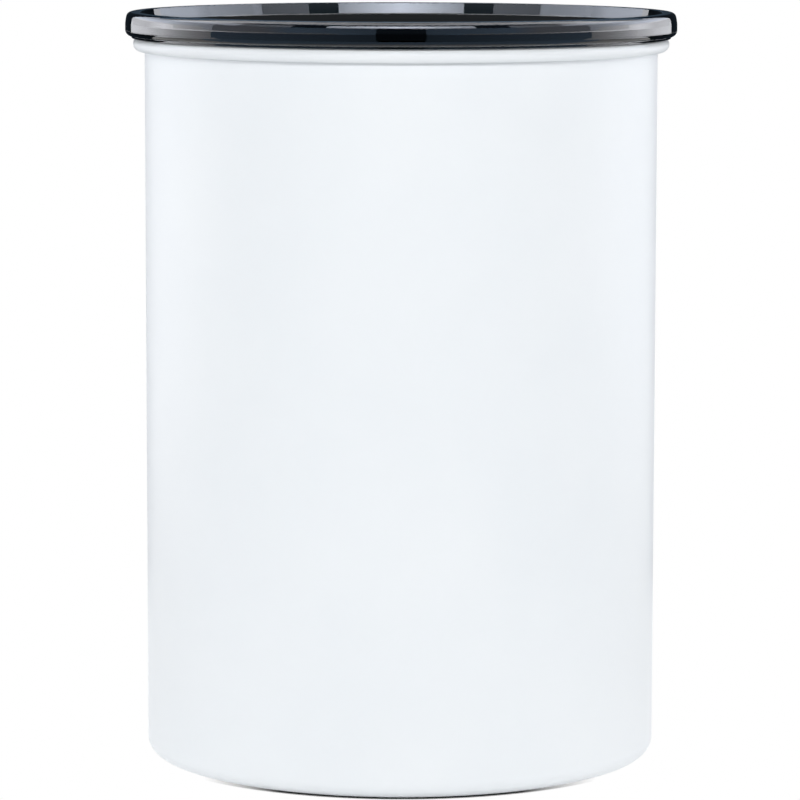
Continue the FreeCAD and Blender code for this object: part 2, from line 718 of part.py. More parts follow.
umbrella_valve = new_body("umbrella_valve", floor_z)
umbrella_sketch = new_sketch(umbrella_valve, "umbrella_outline", "XZ_Plane")
umbrella_rim = f"({umbrella_floor} + Sizes.umbrella_edge)"
dome_r = f"(({umbrella_r} ^ 2 + Sizes.umbrella_dome ^ 2) / (2 * Sizes.umbrella_dome))"
dome_top = f"({umbrella_rim} + Sizes.umbrella_dome)"
outline(umbrella_sketch, [
    to("0", umbrella_end),
    to("(Sizes.umbrella_stem / 2)", umbrella_end),
    to("(Sizes.umbrella_stem / 2)", umbrella_floor),
    to(umbrella_r, umbrella_floor),
    to(umbrella_r, umbrella_rim),
    left("0", dome_top, ("0", f"({dome_top} - {dome_r})")),
])
revolve(umbrella_valve, "umbrella_turn", umbrella_sketch)

stem_clip = new_body("stem_clip", floor_z)
clip_sketch = new_sketch(stem_clip, "clip_outline", "XY_Plane", clip_under)
clip_r = "(Sizes.clip_diameter / 2)"
slot_x = f"({clip_groove_r} * Sizes.clip_slot_share)"
slot_outer_y = f"(-sqrt({clip_r} ^ 2 - {slot_x} ^ 2))"
slot_inner_y = f"(-sqrt({clip_groove_r} ^ 2 - {slot_x} ^ 2))"
outline(clip_sketch, [
    to(slot_x, slot_outer_y),
    left(f"(-{slot_x})", slot_outer_y, ("0", "0")),
    to(f"(-{slot_x})", slot_inner_y),
    right(slot_x, slot_inner_y, ("0", "0")),
])
pad(stem_clip, "clip_pad", clip_sketch, "Sizes.clip_thickness")

# Coil spring between the floor and the disc: one tube on arcs that follow the helix a quarter turn at a time
wire = size("Sizes.spring_wire")
coil_radius = size(coil_r)
coil_low = size("Sizes.spring_wire / 2 + Sizes.spring_end_gap")
coil_high = size(f"{pocket_roof} - Sizes.spring_wire / 2 - Sizes.spring_end_gap")
turns = int(size("Sizes.spring_turns"))
pitch = (coil_high - coil_low) / turns
quarter_turns = 4 * turns


def on_coil(angle):
    """The helix point at an angle."""
    height = coil_low + pitch * angle / math.tau
    return FreeCAD.Vector(coil_radius * math.cos(angle), coil_radius * math.sin(angle), height)


def along_coil(angle):
    """The helix direction at an angle."""
    tangent = FreeCAD.Vector(-math.sin(angle), math.cos(angle), pitch / (math.tau * coil_radius))
    return tangent.normalize()


def arc_from_corner(first, corner, last):
    """The arc that touches both legs of an equal-legged corner at their ends."""
    chord = (first + last) / 2
    half_angle = (corner - first).getAngle(last - first)
    middle = chord + (corner - chord) * (math.tan(half_angle / 2) / math.tan(half_angle))
    return Part.Arc(first, middle, last).toShape()


coil_edges = []
for quarter in range(quarter_turns):
    start_angle = quarter * math.tau / 4
    end_angle = start_angle + math.tau / 4
    start_point = on_coil(start_angle)
    end_point = on_coil(end_angle)
    start_way = along_coil(start_angle)
    end_way = along_coil(end_angle)
    span = end_point - start_point
    both_ways = start_way + end_way
    bend = 2 * (1 - start_way.dot(end_way))
    reach = (math.sqrt(span.dot(both_ways) ** 2 + bend * span.dot(span)) - span.dot(both_ways)) / bend
    first_corner = start_point + start_way * reach
    last_corner = end_point - end_way * reach
    joint = (first_corner + last_corner) / 2
    coil_edges.append(arc_from_corner(start_point, first_corner, joint))
    coil_edges.append(arc_from_corner(joint, last_corner, end_point))
coil_path = Part.Wire(coil_edges)
wire_section = Part.Wire([Part.makeCircle(wire / 2, on_coil(0), along_coil(0))])
valve_spring = doc.addObject("Part::Feature", "valve_spring")
valve_spring.Label = "valve_spring"
valve_spring.Shape = coil_path.makePipeShell([wire_section], True, False)
valve_spring.Placement = FreeCAD.Placement(FreeCAD.Vector(0, 0, size(floor_z)), FreeCAD.Rotation())

# Least gap of the coil to itself, on points that lie more than half a turn apart
samples_per_turn = int(size("Sizes.spring_samples"))
coil_points = [on_coil(step * math.tau / samples_per_turn) for step in range(turns * samples_per_turn + 1)]
least_gap = min(
    point.distanceToPoint(other) - wire
    for index, point in enumerate(coil_points)
    for other in coil_points[index + samples_per_turn // 2:]
)
print(f"valve_spring: least gap to itself {least_gap:.2f} mm")

# Checks and export
doc.recompute()
nodes = [
    canister_shell, outer_lid, outer_lid_gasket, inner_lid_skirt, inner_lid_plate, piston_seal, valve_screen,
    pivot_pins, handle, valve_button, valve_gasket, umbrella_valve, stem_clip, valve_spring,
]
for item in doc.Objects:
    if "Invalid" in item.State or "Error" in item.State:
        raise RuntimeError(f"{item.Name} did not compute: {item.State}")
os.makedirs("parts", exist_ok=True)
for node in nodes:
    if node.Shape.isNull() or not node.Shape.isValid():
        raise RuntimeError(f"{node.Label} has no sound shape")
    node.Shape.exportStep(f"parts/{node.Label}.step")
    box = node.Shape.BoundBox
    print(f"{node.Label}: {len(node.Shape.Solids)} solid(s), z {box.ZMin:.2f} to {box.ZMax:.2f} mm")
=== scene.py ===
# Coffee canister with valve: looks, floor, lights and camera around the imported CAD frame
import bmesh
import bpy
import math
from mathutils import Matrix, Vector


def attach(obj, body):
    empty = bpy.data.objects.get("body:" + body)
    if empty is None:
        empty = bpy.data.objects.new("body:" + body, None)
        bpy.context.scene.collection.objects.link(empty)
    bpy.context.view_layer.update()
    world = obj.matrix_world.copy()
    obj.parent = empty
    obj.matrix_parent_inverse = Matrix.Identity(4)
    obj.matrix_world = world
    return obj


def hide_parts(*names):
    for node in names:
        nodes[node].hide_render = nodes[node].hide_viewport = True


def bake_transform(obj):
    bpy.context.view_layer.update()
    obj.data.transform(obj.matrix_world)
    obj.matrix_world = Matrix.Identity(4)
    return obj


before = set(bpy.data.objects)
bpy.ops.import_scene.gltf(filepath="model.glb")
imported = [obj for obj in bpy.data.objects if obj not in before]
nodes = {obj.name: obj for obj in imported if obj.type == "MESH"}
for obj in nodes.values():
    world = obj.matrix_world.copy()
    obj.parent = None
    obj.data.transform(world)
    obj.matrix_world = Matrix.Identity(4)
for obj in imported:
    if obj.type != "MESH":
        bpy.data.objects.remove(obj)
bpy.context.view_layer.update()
scene = bpy.context.scene
MM = 0.001


# Mesh helpers: profiles are in millimetres, radius first and height second
SAME_POINT = 1e-6
ON_AXIS = 1e-9
STRAIGHT = 0.5
SUPPORT = 0.06


def arc(cx, cz, radius, start, end, steps):
    """Profile points on an arc, from one angle in degrees to another."""
    points = []
    for step in range(steps + 1):
        angle = math.radians(start + (end - start) * step / steps)
        points.append((cx + radius * math.cos(angle), cz + radius * math.sin(angle)))
    return points


def new_object(name, verts, faces):
    """A mesh object in the scene."""
    mesh = bpy.data.meshes.new(name)
    mesh.from_pydata(verts, [], faces)
    piece = bpy.data.objects.new(name, mesh)
    scene.collection.objects.link(piece)
    return piece


def smooth(piece, degrees=32):
    """Smooth shading that keeps edges sharper than an angle."""
    piece.data.polygons.foreach_set("use_smooth", [True] * len(piece.data.polygons))
    piece.data.set_sharp_from_angle(angle=math.radians(degrees))
    piece.data.update()


def supported(rows):
    """Profile rows with two more close to the ends of each straight stretch, which keep its shading straight."""
    full = []
    for row, (index, radius, height) in enumerate(rows):
        full.append((index, radius, height))
        end = rows[(row + 1) % len(rows)]
        length = math.dist((radius, height), end[1:])
        if length < STRAIGHT:
            continue
        for share in (SUPPORT / length, 1 - SUPPORT / length):
            full.append((index, radius + (end[1] - radius) * share, height + (end[2] - height) * share))
    return full


def lathe(name, runs, segments=256):
    """A closed turned solid. Each run is (material index, profile points) and ends where the next one starts."""
    rows = []
    for index, points in runs:
        for radius, height in points:
            if rows and math.dist(rows[-1][1:], (radius, height)) < SAME_POINT:
                rows.pop()
            rows.append((index, radius, height))
    if math.dist(rows[-1][1:], rows[0][1:]) < SAME_POINT:
        rows.pop()
    rows = supported(rows)
    verts = []
    rings = []
    for index, radius, height in rows:
        if radius < ON_AXIS:
            rings.append([len(verts)] * segments)
            verts.append((0, 0, height * MM))
            continue
        rings.append(list(range(len(verts), len(verts) + segments)))
        for step in range(segments):
            angle = math.tau * step / segments
            verts.append((radius * MM * math.cos(angle), radius * MM * math.sin(angle), height * MM))
    faces = []
    slots = []
    for row, ring in enumerate(rings):
        following = rings[(row + 1) % len(rings)]
        if ring[0] == ring[1] and following[0] == following[1]:
            continue
        for step in range(segments):
            turn = (step + 1) % segments
            face = [ring[step], ring[turn], following[turn], following[step]]
            faces.append(list(dict.fromkeys(face)))
            slots.append(rows[row][0])
    piece = new_object(name, verts, faces)
    piece.data.polygons.foreach_set("material_index", slots)
    shape = bmesh.new()
    shape.from_mesh(piece.data)
    bmesh.ops.recalc_face_normals(shape, faces=shape.faces)
    shape.to_mesh(piece.data)
    shape.free()
    smooth(piece)
    return piece


def dress(piece, *materials):
    """Gives a piece or a CAD node these materials in place of its own."""
    while piece.data.materials:
        piece.data.materials.pop()
    for material in materials:
        piece.data.materials.append(material)


def seat(piece, body, node):
    """A piece rides on a body and stands for a CAD node, which it hides."""
    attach(piece, body)
    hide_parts(node)


# Material helpers

def new_material(name):
    """A material with its node tree and its shader."""
    material = bpy.data.materials.new(name)
    material.use_nodes = True
    tree = material.node_tree
    return material, tree, tree.nodes["Principled BSDF"]


def node_in(tree, kind, **values):
    """A new node; values set its properties, or its inputs where an input has that name."""
    made = tree.nodes.new(kind)
    for key, value in values.items():
        name = key.replace("_", " ")
        if name in made.inputs:
            made.inputs[name].default_value = value
        else:
            setattr(made, key, value)
    return made


def noise(tree, vector, scale, detail, rough=0.5):
    """A noise texture on a vector output, with scale in features per metre."""
    made = node_in(tree, "ShaderNodeTexNoise", Scale=scale, Detail=detail, Roughness=rough)
    tree.links.new(vector, made.inputs["Vector"])
    return made.outputs["Fac"]


def spread(tree, value, low, high, start=0.3, end=0.7):
    """A value between start and end mapped to a range; noise lies between 0.3 and 0.7."""
    made = node_in(tree, "ShaderNodeMapRange", From_Min=start, From_Max=end, To_Min=low, To_Max=high)
    tree.links.new(value, made.inputs["Value"])
    return made.outputs["Result"]


def blend_colours(tree, value, low, high, start=0.3, end=0.7):
    """A colour between two, chosen by a value between start and end."""
    made = node_in(tree, "ShaderNodeValToRGB")
    for stop, position, colour in zip(made.color_ramp.elements, (start, end), (low, high)):
        stop.position = position
        stop.color = (*colour, 1)
    tree.links.new(value, made.inputs["Fac"])
    return made.outputs["Color"]


def bump(tree, shader, height, strength, depth):
    """Relief on a shader, with its depth in metres."""
    made = node_in(tree, "ShaderNodeBump", Strength=strength, Distance=depth)
    tree.links.new(height, made.inputs["Height"])
    tree.links.new(made.outputs["Normal"], shader.inputs["Normal"])


def place(tree):
    """The object's own coordinates in metres."""
    return node_in(tree, "ShaderNodeTexCoord").outputs["Object"]


def ring_place(tree):
    """Coordinates that only change with the distance from the axis and the height, for turned marks."""
    parts = node_in(tree, "ShaderNodeSeparateXYZ")
    tree.links.new(place(tree), parts.inputs["Vector"])
    flat = node_in(tree, "ShaderNodeCombineXYZ")
    tree.links.new(parts.outputs["X"], flat.inputs["X"])
    tree.links.new(parts.outputs["Y"], flat.inputs["Y"])
    length = node_in(tree, "ShaderNodeVectorMath", operation="LENGTH")
    tree.links.new(flat.outputs["Vector"], length.inputs[0])
    rings = node_in(tree, "ShaderNodeCombineXYZ")
    tree.links.new(length.outputs["Value"], rings.inputs["X"])
    tree.links.new(parts.outputs["Z"], rings.inputs["Z"])
    return rings.outputs["Vector"]


# Materials

def powder_coat():
    """White satin powder coat: a fine orange peel and a faint drift of tone."""
    material, tree, shader = new_material("powder_coat_white")
    at = place(tree)
    tone = blend_colours(tree, noise(tree, at, scale=28, detail=3), (0.856, 0.881, 0.9), (0.878, 0.899, 0.914))
    rough = spread(tree, noise(tree, at, scale=160, detail=2), 0.38, 0.44)
    tree.links.new(tone, shader.inputs["Base Color"])
    tree.links.new(rough, shader.inputs["Roughness"])
    bump(tree, shader, noise(tree, at, scale=1100, detail=3, rough=0.55), strength=0.35, depth=0.00002)
    shader.inputs["IOR"].default_value = 1.45
    shader.inputs["Specular IOR Level"].default_value = 0.2
    return material


def drawn_steel():
    """Bare stainless steel with turned brush lines."""
    material, tree, shader = new_material("stainless_brushed")
    rings = ring_place(tree)
    lines = noise(tree, rings, scale=5200, detail=2, rough=0.6)
    tone = blend_colours(tree, lines, (0.74, 0.745, 0.75), (0.8, 0.803, 0.807))
    rough = spread(tree, noise(tree, rings, scale=900, detail=2), 0.32, 0.4)
    tree.links.new(tone, shader.inputs["Base Color"])
    tree.links.new(rough, shader.inputs["Roughness"])
    bump(tree, shader, lines, strength=0.12, depth=0.000006)
    shader.inputs["Metallic"].default_value = 1
    shader.inputs["Anisotropic"].default_value = 0.5
    return material


def smoke_plastic():
    """Clear glossy plastic with a dark smoke tint through its depth and the faint waves of a moulding."""
    material, tree, shader = new_material("smoke_plastic_clear")
    at = place(tree)
    rough = spread(tree, noise(tree, at, scale=60, detail=1), 0.01, 0.03)
    tree.links.new(rough, shader.inputs["Roughness"])
    bump(tree, shader, noise(tree, at, scale=35, detail=0), strength=0.04, depth=0.00002)
    shader.inputs["Base Color"].default_value = (0.13, 0.15, 0.16, 1)
    shader.inputs["Transmission Weight"].default_value = 1
    shader.inputs["IOR"].default_value = 1.49
    smoke = node_in(tree, "ShaderNodeVolumeAbsorption", Color=(0.14, 0.2, 0.22, 1), Density=820)
    tree.links.new(smoke.outputs["Volume"], tree.nodes["Material Output"].inputs["Volume"])
    return material


def moulded(name, low, high, rough, grain, depth, gloss=0.5):
    """Moulded plastic with a spark-eroded grain."""
    material, tree, shader = new_material(name)
    at = place(tree)
    tone = blend_colours(tree, noise(tree, at, scale=60, detail=3), low, high)
    sheen = spread(tree, noise(tree, at, scale=grain / 4, detail=2), rough - 0.06, rough + 0.06)
    tree.links.new(tone, shader.inputs["Base Color"])
    tree.links.new(sheen, shader.inputs["Roughness"])
    bump(tree, shader, noise(tree, at, scale=grain, detail=2, rough=0.6), strength=0.4, depth=depth)
    shader.inputs["IOR"].default_value = 1.5
    shader.inputs["Specular IOR Level"].default_value = gloss
    return material


def silicone():
    """Grey silicone, slightly waxy, with dust-fine bloom."""
    material, tree, shader = new_material("silicone_grey")
    at = place(tree)
    tone = blend_colours(tree, noise(tree, at, scale=120, detail=3), (0.36, 0.365, 0.37), (0.42, 0.425, 0.43))
    rough = spread(tree, noise(tree, at, scale=700, detail=2), 0.42, 0.58)
    tree.links.new(tone, shader.inputs["Base Color"])
    tree.links.new(rough, shader.inputs["Roughness"])
    bump(tree, shader, noise(tree, at, scale=1500, detail=2), strength=0.25, depth=0.00001)
    shader.inputs["IOR"].default_value = 1.41
    shader.inputs["Subsurface Weight"].default_value = 0.2
    shader.inputs["Subsurface Radius"].default_value = (0.001, 0.001, 0.001)
    shader.inputs["Sheen Weight"].default_value = 0.08
    return material


def bright_steel():
    """Polished steel of the pins, the clip and the spring, with fine drawing marks."""
    material, tree, shader = new_material("steel_bright")
    marks = noise(tree, place(tree), scale=3000, detail=3, rough=0.6)
    tone = blend_colours(tree, marks, (0.56, 0.56, 0.57), (0.66, 0.66, 0.67))
    tree.links.new(tone, shader.inputs["Base Color"])
    tree.links.new(spread(tree, marks, 0.2, 0.34), shader.inputs["Roughness"])
    bump(tree, shader, marks, strength=0.15, depth=0.000006)
    shader.inputs["Metallic"].default_value = 1
    return material


COAT = powder_coat()
INSIDE = drawn_steel()
SMOKE = smoke_plastic()
FROST = moulded(
    "smoke_plastic_frosted", (0.018, 0.02, 0.0215), (0.021, 0.023, 0.0245),
    rough=0.6, grain=900, depth=0.00001, gloss=0,
)
DARK = moulded(
    "plastic_charcoal", (0.028, 0.029, 0.031), (0.034, 0.035, 0.038), rough=0.5, grain=2600, depth=0.00002,
)
GRIP = moulded(
    "plastic_handle", (0.02, 0.0205, 0.022), (0.025, 0.0255, 0.027), rough=0.4, grain=3200, depth=0.000015,
)
BUTTON = moulded(
    "plastic_button", (0.1, 0.102, 0.106), (0.118, 0.12, 0.125), rough=0.42, grain=3200, depth=0.000015,
)
SEAL = silicone()
STEEL = bright_steel()

# Can: painted outside as far as just inside the rolled rim, bare steel inside
WALL = 0.8
BORE = 60.2
BODY = 61.0
BODY_ROWS = (60, 120)
CURL_X = 61.975
CURL_Z = 170.425
CURL = 1.775
CURL_INNER = 0.975
CURL_ROOT = CURL_Z - 1.2
CURL_END = (CURL_X - 0.55, CURL_Z - 1.62)
CURL_END_ANGLE = -109
PAINT_EDGE_ANGLE = 150
CORNER_X = 57.5
CORNER = 3.5
BASE_RISE = 2.5
BASE_BEND = 1.0
BASE_PANEL = 49.6
FOOT_IN = 52.9
INSIDE_BEND = 0.8
INSIDE_PANEL = 49.9
INSIDE_FOOT = 53.1
INSIDE_FLOOR = BASE_RISE + WALL
PAINT = 0
BARE = 1
can = lathe("can_shell", [
    (PAINT, [(0, BASE_RISE), (BASE_PANEL, BASE_RISE)]),
    (PAINT, arc(BASE_PANEL, BASE_RISE - BASE_BEND, BASE_BEND, 90, 45, 6)),
    (PAINT, arc(FOOT_IN, BASE_BEND, BASE_BEND, 225, 270, 6)),
    (PAINT, arc(CORNER_X, CORNER, CORNER, 270, 360, 14)),
    (PAINT, [(BODY, BODY_ROWS[0]), (BODY, BODY_ROWS[1]), (BODY, CURL_ROOT)]),
    (PAINT, arc(CURL_X, CURL_Z, CURL_INNER, 180, CURL_END_ANGLE, 30)),
    (PAINT, [CURL_END]),
    (PAINT, arc(CURL_X, CURL_Z, CURL, CURL_END_ANGLE, PAINT_EDGE_ANGLE, 44)),
    (BARE, arc(CURL_X, CURL_Z, CURL, PAINT_EDGE_ANGLE, 180, 6)),
    (BARE, [(BORE, BODY_ROWS[1]), (BORE, BODY_ROWS[0])]),
    (BARE, arc(CORNER_X, CORNER, BORE - CORNER_X, 360, 270, 12)),
    (BARE, arc(INSIDE_FOOT, WALL + INSIDE_BEND, INSIDE_BEND, 270, 225, 6)),
    (BARE, arc(INSIDE_PANEL, INSIDE_FLOOR - INSIDE_BEND, INSIDE_BEND, 45, 90, 6)),
    (BARE, [(0, INSIDE_FLOOR)]),
])
dress(can, COAT, INSIDE)
seat(can, "canister", "canister_shell")

# Outer lid: heights from the can's rim, with a crest between a leaning outer wall and a drafted recess wall.
# The recess floor is matte and the rest is clear.
RIM = 172.2
LID_R = 65.6
BEAD = 63.75
LEAN = 8
DRAFT = 14
CREST = RIM + 5.7
ARRIS = RIM + 3.05
ARRIS_R = 3.5
SHOULDER = 16
SHOULDER_R = 5.1
EDGE = 1.24
INNER_EDGE = 0.12
FILLET = 0.35
MOUTH = 62.075
PANEL_TOP = CREST - 2.9
PANEL_UNDER = PANEL_TOP - 2
PANEL_ROW = 30
MATTE_MARGIN = 0.2
SEAT = RIM + 0.3
SEAT_X = BEAD - 0.9
SEAT_ROUND = 0.4
LIP = RIM - 0.35
NECK = BEAD + 0.35
NECK_Z = LIP + 0.4
LOWER_ROUND = LID_R - NECK
PLUG = 59.0
PLUG_IN = PLUG - 2.2
PLUG_LOW = RIM - 8
PLUG_ROUND = 0.6
PLUG_IN_ROUND = 0.4
PANEL_ROUND = 0.8
GROOVE = 57.9
GROOVE_LOW = PLUG_LOW + 1.6
GROOVE_HIGH = GROOVE_LOW + 3.6
CLEAR = 0
MATTE = 1
lean = math.radians(LEAN)
draft = math.radians(DRAFT)
shoulder = math.radians(SHOULDER)
shoulder_z = CREST - EDGE - (SHOULDER_R - EDGE) * math.sin(shoulder)
lean_z = shoulder_z + SHOULDER_R * math.sin(lean)
shoulder_x = LID_R - (lean_z - ARRIS) * math.tan(lean) - SHOULDER_R * math.cos(lean)
crest_out_x = shoulder_x + (SHOULDER_R - EDGE) * math.cos(shoulder)
corner_shift = 1 / math.cos(draft) - math.tan(draft)
crest_in_x = MOUTH + INNER_EDGE * corner_shift
fillet_x = MOUTH - (CREST - PANEL_TOP) * math.tan(draft) - FILLET * corner_shift
lid = lathe("lid_shell", [
    (MATTE, [(0, PANEL_TOP), (PANEL_ROW, PANEL_TOP), (fillet_x - MATTE_MARGIN, PANEL_TOP)]),
    (CLEAR, arc(fillet_x, PANEL_TOP + FILLET, FILLET, 270, 360 - DRAFT, 10)),
    (CLEAR, arc(crest_in_x, CREST - INNER_EDGE, INNER_EDGE, 180 - DRAFT, 90, 12)),
    (CLEAR, arc(crest_out_x, CREST - EDGE, EDGE, 90, SHOULDER, 18)),
    (CLEAR, arc(shoulder_x, shoulder_z, SHOULDER_R, SHOULDER, LEAN, 8)),
    (CLEAR, arc(LID_R - ARRIS_R, ARRIS - ARRIS_R * math.tan(lean / 2), ARRIS_R, LEAN, 0, 8)),
    (CLEAR, arc(NECK, NECK_Z + LOWER_ROUND, LOWER_ROUND, 0, -90, 20)),
    (CLEAR, [(NECK, NECK_Z), (NECK, LIP), (SEAT_X, SEAT)]),
    (CLEAR, arc(PLUG + SEAT_ROUND, SEAT - SEAT_ROUND, SEAT_ROUND, 90, 180, 6)),
    (CLEAR, [(PLUG, GROOVE_HIGH), (GROOVE, GROOVE_HIGH), (GROOVE, GROOVE_LOW), (PLUG, GROOVE_LOW)]),
    (CLEAR, arc(PLUG - PLUG_ROUND, PLUG_LOW + PLUG_ROUND, PLUG_ROUND, 0, -90, 8)),
    (CLEAR, arc(PLUG_IN + PLUG_IN_ROUND, PLUG_LOW + PLUG_IN_ROUND, PLUG_IN_ROUND, 270, 180, 6)),
    (CLEAR, arc(PLUG_IN - PANEL_ROUND, PANEL_UNDER - PANEL_ROUND, PANEL_ROUND, 0, 90, 8)),
    (CLEAR, [(PANEL_ROW, PANEL_UNDER), (0, PANEL_UNDER)]),
])
dress(lid, SMOKE, FROST)
seat(lid, "outer_lid", "outer_lid")

# Soft seals
SEAL_CORNER = 0.2
LIP_TIP_ROUND = 0.3
LIP_TIP_RISE = 0.9
LIP_TOP = 1.12
LIP_ROOT_ROUND = 0.25
SEAL_TIP = 59.9


def lipped_seal(name, groove, root, low, high):
    """A seal ring in a groove with two soft lips that bend upwards and have round tips."""
    steps = [(groove, low + SEAL_CORNER)]
    steps += arc(groove + SEAL_CORNER, low + SEAL_CORNER, SEAL_CORNER, 180, 270, 4)
    middle = (low + high) / 2
    for foot, lift in ((low, 0), (middle, LIP_ROOT_ROUND)):
        steps += [(root, foot + lift)]
        steps += arc(SEAL_TIP - LIP_TIP_ROUND, foot + LIP_TIP_RISE, LIP_TIP_ROUND, -60, 85, 8)
        steps += [(root + LIP_ROOT_ROUND, foot + LIP_TOP)]
        steps += arc(root + LIP_ROOT_ROUND, foot + LIP_TOP + LIP_ROOT_ROUND, LIP_ROOT_ROUND, 270, 180, 4)
    steps += [(root, high)]
    steps += arc(groove + SEAL_CORNER, high - SEAL_CORNER, SEAL_CORNER, 90, 180, 4)
    return lathe(name, [(0, steps)])


lid_seal = lipped_seal("lid_seal", GROOVE, PLUG, GROOVE_LOW, GROOVE_HIGH)
dress(lid_seal, SEAL)
seat(lid_seal, "outer_lid", "outer_lid_gasket")

PISTON_GROOVE = 56.7
PISTON_ROOT = 58.7
PISTON_LOW = 98.45
PISTON_HIGH = 103.45
piston = lipped_seal("piston_seal_ring", PISTON_GROOVE, PISTON_ROOT, PISTON_LOW, PISTON_HIGH)
dress(piston, SEAL)
seat(piston, "inner_lid", "piston_seal")

# Gasket under the valve disc, with its heights from the inner lid's plate
PLATE_Z = 107.05
GASKET_IN = 9.2
GASKET_OUT = 11.8
GASKET_LOW = PLATE_Z + 2.5
GASKET_HIGH = PLATE_Z + 4.1
GASKET_ROUND = 0.4
GASKET_TOP_ROUND = 0.15
GASKET_SEGMENTS = 160
valve_seal = lathe("valve_seal", [
    (0, arc(GASKET_IN + GASKET_ROUND, GASKET_LOW + GASKET_ROUND, GASKET_ROUND, 180, 270, 5)),
    (0, arc(GASKET_OUT - GASKET_ROUND, GASKET_LOW + GASKET_ROUND, GASKET_ROUND, 270, 360, 5)),
    (0, arc(GASKET_OUT - GASKET_TOP_ROUND, GASKET_HIGH - GASKET_TOP_ROUND, GASKET_TOP_ROUND, 0, 90, 4)),
    (0, arc(GASKET_IN + GASKET_TOP_ROUND, GASKET_HIGH - GASKET_TOP_ROUND, GASKET_TOP_ROUND, 90, 180, 4)),
], GASKET_SEGMENTS)
dress(valve_seal, SEAL)
seat(valve_seal, "valve", "valve_gasket")

# One-way gas valve in the disc: a stem below a domed flap
UMBRELLA_FLOOR = PLATE_Z + 5.3
UMBRELLA_STEM = 1.0
UMBRELLA_LENGTH = 3.2
UMBRELLA_STEM_ROUND = 0.2
UMBRELLA_R = 5.7
UMBRELLA_EDGE = 0.15
UMBRELLA_RIM = UMBRELLA_FLOOR + 2 * UMBRELLA_EDGE
DOME = 0.8
DOME_EDGE = 5.5
DOME_R = (UMBRELLA_R ** 2 + DOME ** 2) / (2 * DOME)
DOME_ANGLE = math.degrees(math.asin(DOME_EDGE / DOME_R))
UMBRELLA_SEGMENTS = 128
stem_end = UMBRELLA_FLOOR - UMBRELLA_LENGTH
umbrella = lathe("gas_valve_flap", [
    (0, [(0, stem_end)]),
    (0, arc(UMBRELLA_STEM - UMBRELLA_STEM_ROUND, stem_end + UMBRELLA_STEM_ROUND, UMBRELLA_STEM_ROUND, 270, 360, 4)),
    (0, [(UMBRELLA_STEM, UMBRELLA_FLOOR)]),
    (0, arc(UMBRELLA_R - UMBRELLA_EDGE, UMBRELLA_FLOOR + UMBRELLA_EDGE, UMBRELLA_EDGE, 270, 400, 6)),
    (0, arc(0, UMBRELLA_RIM + DOME - DOME_R, DOME_R, 90 - DOME_ANGLE, 90, 12)),
], UMBRELLA_SEGMENTS)
dress(umbrella, SEAL)
seat(umbrella, "valve", "umbrella_valve")

# Coil spring: one wire with round ends that stretches between the plate and the valve disc
COIL_R = 4.6
WIRE = 0.7
COIL_LOW = PLATE_Z + 0.45
COIL_HIGH = PLATE_Z + 3.85
TURNS = 3
PER_TURN = 40
SIDES = 14
END_STEPS = 5
NUDGE = 0.001
SPRING_SHARP = 60


def coil_point(share):
    """A point of the coil's centre line."""
    angle = math.tau * TURNS * share
    height = COIL_LOW + (COIL_HIGH - COIL_LOW) * share
    return Vector((COIL_R * math.cos(angle), COIL_R * math.sin(angle), height))


def coil_ring(share, radius, shift):
    """The points round the wire at a place on the coil, moved along it by a shift."""
    centre = coil_point(share)
    along = (coil_point(share + NUDGE) - coil_point(share - NUDGE)).normalized()
    out = Vector((centre.x, centre.y, 0)).normalized()
    up = along.cross(out).normalized()
    out = up.cross(along)
    centre = centre + along * shift
    ring = []
    for side in range(SIDES):
        angle = math.tau * side / SIDES
        ring.append((centre + (out * math.cos(angle) + up * math.sin(angle)) * radius) * MM)
    return ring


def coil_end(share, direction):
    """The rings of one rounded end of the wire, from its tip inwards."""
    rings = []
    for step in range(1, END_STEPS):
        angle = math.radians(90 * step / END_STEPS)
        rings.append(coil_ring(share, WIRE / 2 * math.sin(angle), direction * WIRE / 4 * math.cos(angle)))
    return rings


coil_rings = coil_end(0, -1)
for step in range(TURNS * PER_TURN + 1):
    coil_rings.append(coil_ring(step / (TURNS * PER_TURN), WIRE / 2, 0))
coil_rings += reversed(coil_end(1, 1))
coil_verts = [point for ring in coil_rings for point in ring]
coil_faces = [list(range(SIDES - 1, -1, -1)), list(range(len(coil_verts) - SIDES, len(coil_verts)))]
for row in range(len(coil_rings) - 1):
    for side in range(SIDES):
        turn = (side + 1) % SIDES
        first = row * SIDES
        coil_faces.append([first + side, first + turn, first + SIDES + turn, first + SIDES + side])
spring = new_object("spring_coil", coil_verts, coil_faces)
smooth(spring, SPRING_SHARP)
dress(spring, STEEL)
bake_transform(spring)
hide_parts("valve_spring")

# CAD nodes that keep their shapes
FINISHES = {
    "inner_lid_skirt": DARK,
    "inner_lid_plate": DARK,
    "valve_screen": DARK,
    "handle": GRIP,
    "valve_button": BUTTON,
    "pivot_pins": STEEL,
    "stem_clip": STEEL,
}
for name, material in FINISHES.items():
    dress(nodes[name], material)

# Floor: white to the eye and to reflections, with a painted contact shadow where the can stands and light beside
# the can
FLOOR_SIZE = 8
FLOOR_Z = -0.00005
floor = new_object("floor", [
    (-FLOOR_SIZE, -FLOOR_SIZE, FLOOR_Z),
    (FLOOR_SIZE, -FLOOR_SIZE, FLOOR_Z),
    (FLOOR_SIZE, FLOOR_SIZE, FLOOR_Z),
    (-FLOOR_SIZE, FLOOR_SIZE, FLOOR_Z),
], [(0, 1, 2, 3)])


def maths(tree, operation, *values):
    """The result of a maths node on one or two outputs."""
    made = node_in(tree, "ShaderNodeMath", operation=operation)
    for value, socket in zip(values, made.inputs):
        tree.links.new(value, socket)
    return made.outputs["Value"]


